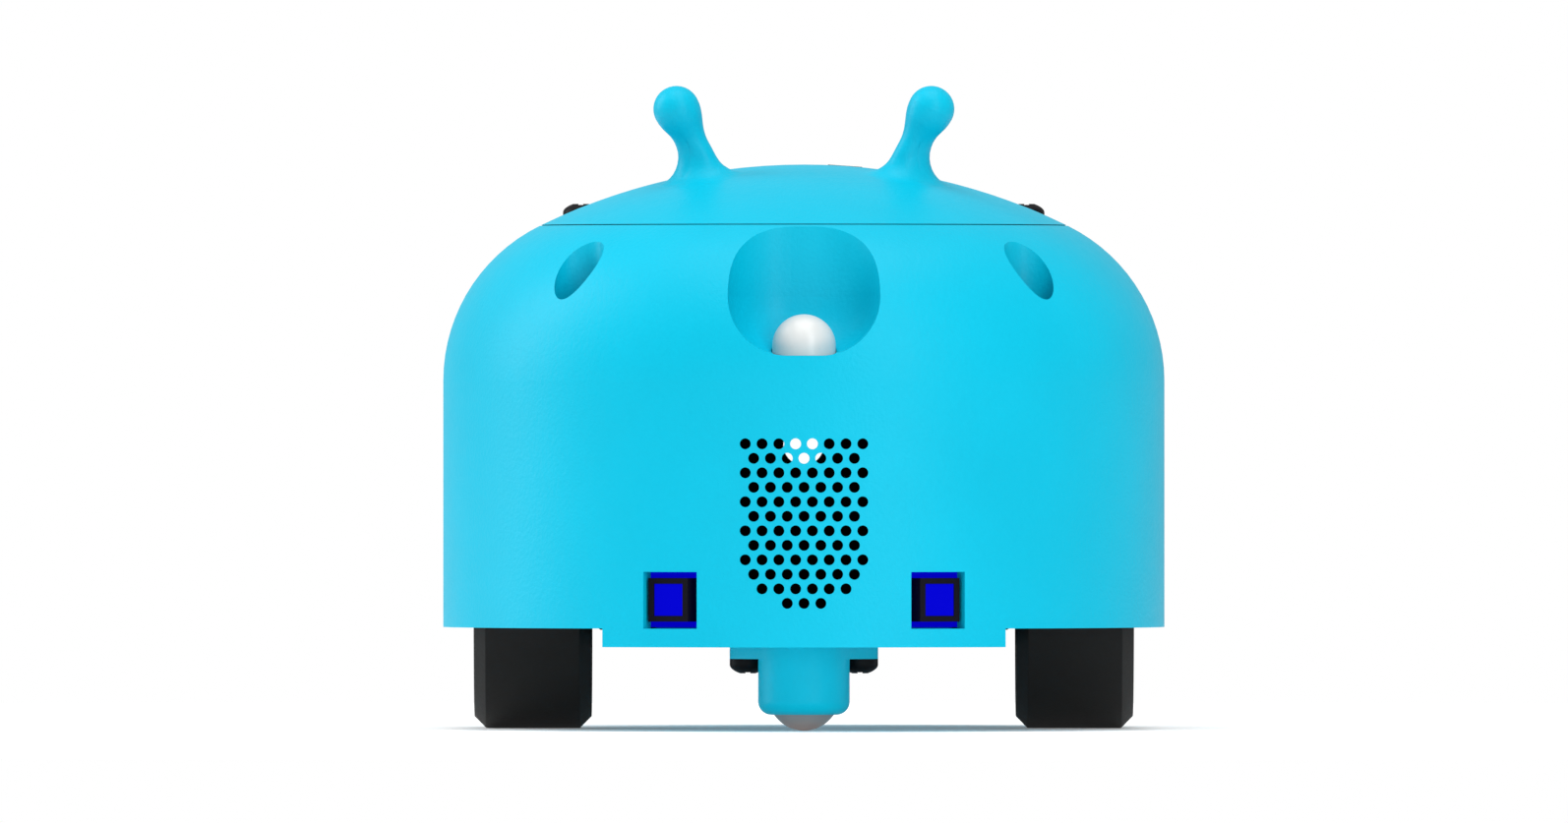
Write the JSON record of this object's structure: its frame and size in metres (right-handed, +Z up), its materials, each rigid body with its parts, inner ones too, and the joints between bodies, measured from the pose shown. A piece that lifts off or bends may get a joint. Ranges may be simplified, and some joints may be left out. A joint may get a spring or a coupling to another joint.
{
  "type": "two wheel robot car",
  "caption": "Small rounded two-wheel robot car with a domed shell, ball-tipped antennas, nose lamp, speaker grille, angled sensors and a ball caster.",
  "frame": {"origin": "on the floor, under the middle of the bounding box", "axes": "+Z up, -Y towards the front, +X towards the robot's own left"},
  "size_m": [0.16, 0.206, 0.1426],
  "materials": {
    "shell": "satin moulded cyan plastic with a fine texture",
    "ball_steel": "polished steel ball",
    "black_screw": "black oxide",
    "nut_steel": "zinc plated",
    "tyre": "smooth black rubber",
    "rim": "dark grey moulded plastic",
    "white_gear": "white acetal",
    "pin_steel": "ground steel",
    "gearbox": "yellow moulded plastic",
    "motor_steel": "nickel plated can",
    "sensor_blue": "deep blue",
    "sensor_black": "black moulded plastic",
    "lens_white": "milky white diffuser",
    "led_clear": "clear epoxy",
    "board_green": "solder mask",
    "speaker_black": "black",
    "cone_paper": "black paper cone",
    "magnet": "plated steel",
    "foam": "black acoustic foam",
    "switch_black": "black nylon",
    "holder_black": "black moulded plastic",
    "cell_wrap": "blue heat-shrink sleeve",
    "contact": "spring contact",
    "chip_black": "epoxy package",
    "terminal_green": "green moulding",
    "capacitor": "can with sleeve",
    "brass": "turned hexagon"
  },
  "bodies": {
    "chassis": {"base_plate": "shell", "battery_cells": "cell_wrap", "battery_contacts": "contact", "battery_holder": "holder_black", "board_capacitors": "capacitor", "board_chips": "chip_black", "board_screws": "black_screw", "caster_housing": "shell", "caster_nuts": "nut_steel", "caster_screws": "black_screw", "controller_board": "board_green", "grille_foam": "foam", "left_gear_pin": "pin_steel", "left_gearbox_case": "gearbox", "left_gearbox_cover": "gearbox", "left_motor_can": "motor_steel", "left_motor_screws": "black_screw", "left_sensor_board": "sensor_blue", "left_sensor_housing": "sensor_black", "left_sensor_lens": "sensor_blue", "lid_screws": "black_screw", "main_shell": "shell", "nose_board": "board_green", "nose_led": "led_clear", "nose_lens": "lens_white", "right_gear_pin": "pin_steel", "right_gearbox_case": "gearbox", "right_gearbox_cover": "gearbox", "right_motor_can": "motor_steel", "right_motor_screws": "black_screw", "right_sensor_board": "sensor_blue", "right_sensor_housing": "sensor_black", "right_sensor_lens": "sensor_blue", "shell_screws": "black_screw", "speaker_bracket": "speaker_black", "speaker_cone": "cone_paper", "speaker_frame": "speaker_black", "speaker_magnet": "magnet", "speaker_screws": "black_screw", "standoffs": "brass", "switch_body": "switch_black", "terminal_blocks": "terminal_green", "top_lid": "shell"},
    "left_wheel": {"left_tyre": "tyre", "left_rim": "rim", "left_output_shaft": "white_gear", "left_output_gear": "white_gear"},
    "left_cluster": {"left_cluster_gear": "white_gear"},
    "left_rotor": {"left_motor_rotor": "pin_steel"},
    "right_wheel": {"right_tyre": "tyre", "right_rim": "rim", "right_output_shaft": "white_gear", "right_output_gear": "white_gear"},
    "right_cluster": {"right_cluster_gear": "white_gear"},
    "right_rotor": {"right_motor_rotor": "pin_steel"},
    "ball": {"caster_ball": "ball_steel"},
    "rocker": {"switch_rocker": "switch_black"}
  },
  "joints": [
    {"name": "left_wheel_spin", "type": "hinge", "parent": "chassis", "child": "left_wheel", "pos_m": [0.06, 0.01, 0.0335], "axis": [1, 0, 0], "continuous": true},
    {"name": "left_cluster_spin", "type": "hinge", "parent": "chassis", "child": "left_cluster", "pos_m": [0.034, -0.002, 0.0335], "axis": [1, 0, 0], "continuous": true},
    {"name": "left_rotor_spin", "type": "hinge", "parent": "chassis", "child": "left_rotor", "pos_m": [0.0348, -0.02, 0.0335], "axis": [0, 1, 0], "continuous": true},
    {"name": "right_wheel_spin", "type": "hinge", "parent": "chassis", "child": "right_wheel", "pos_m": [-0.06, 0.01, 0.0335], "axis": [1, 0, 0], "continuous": true},
    {"name": "right_cluster_spin", "type": "hinge", "parent": "chassis", "child": "right_cluster", "pos_m": [-0.034, -0.002, 0.0335], "axis": [1, 0, 0], "continuous": true},
    {"name": "right_rotor_spin", "type": "hinge", "parent": "chassis", "child": "right_rotor", "pos_m": [-0.0348, -0.02, 0.0335], "axis": [0, 1, 0], "continuous": true},
    {"name": "ball_roll", "type": "hinge", "parent": "chassis", "child": "ball", "pos_m": [0, -0.062, 0.008], "axis": [1, 0, 0], "continuous": true},
    {"name": "rocker_tilt", "type": "hinge", "parent": "chassis", "child": "rocker", "pos_m": [0.00898, 0.05252, 0.12132], "axis": [0.9976, 0, -0.0694], "range_deg": [0, 16]}
  ],
  "couplings": [
    {"joint": "left_cluster_spin", "follows": "left_wheel_spin", "ratio": -3},
    {"joint": "left_rotor_spin", "follows": "left_wheel_spin", "ratio": 12},
    {"joint": "right_cluster_spin", "follows": "right_wheel_spin", "ratio": -3},
    {"joint": "right_rotor_spin", "follows": "right_wheel_spin", "ratio": -12}
  ]
}
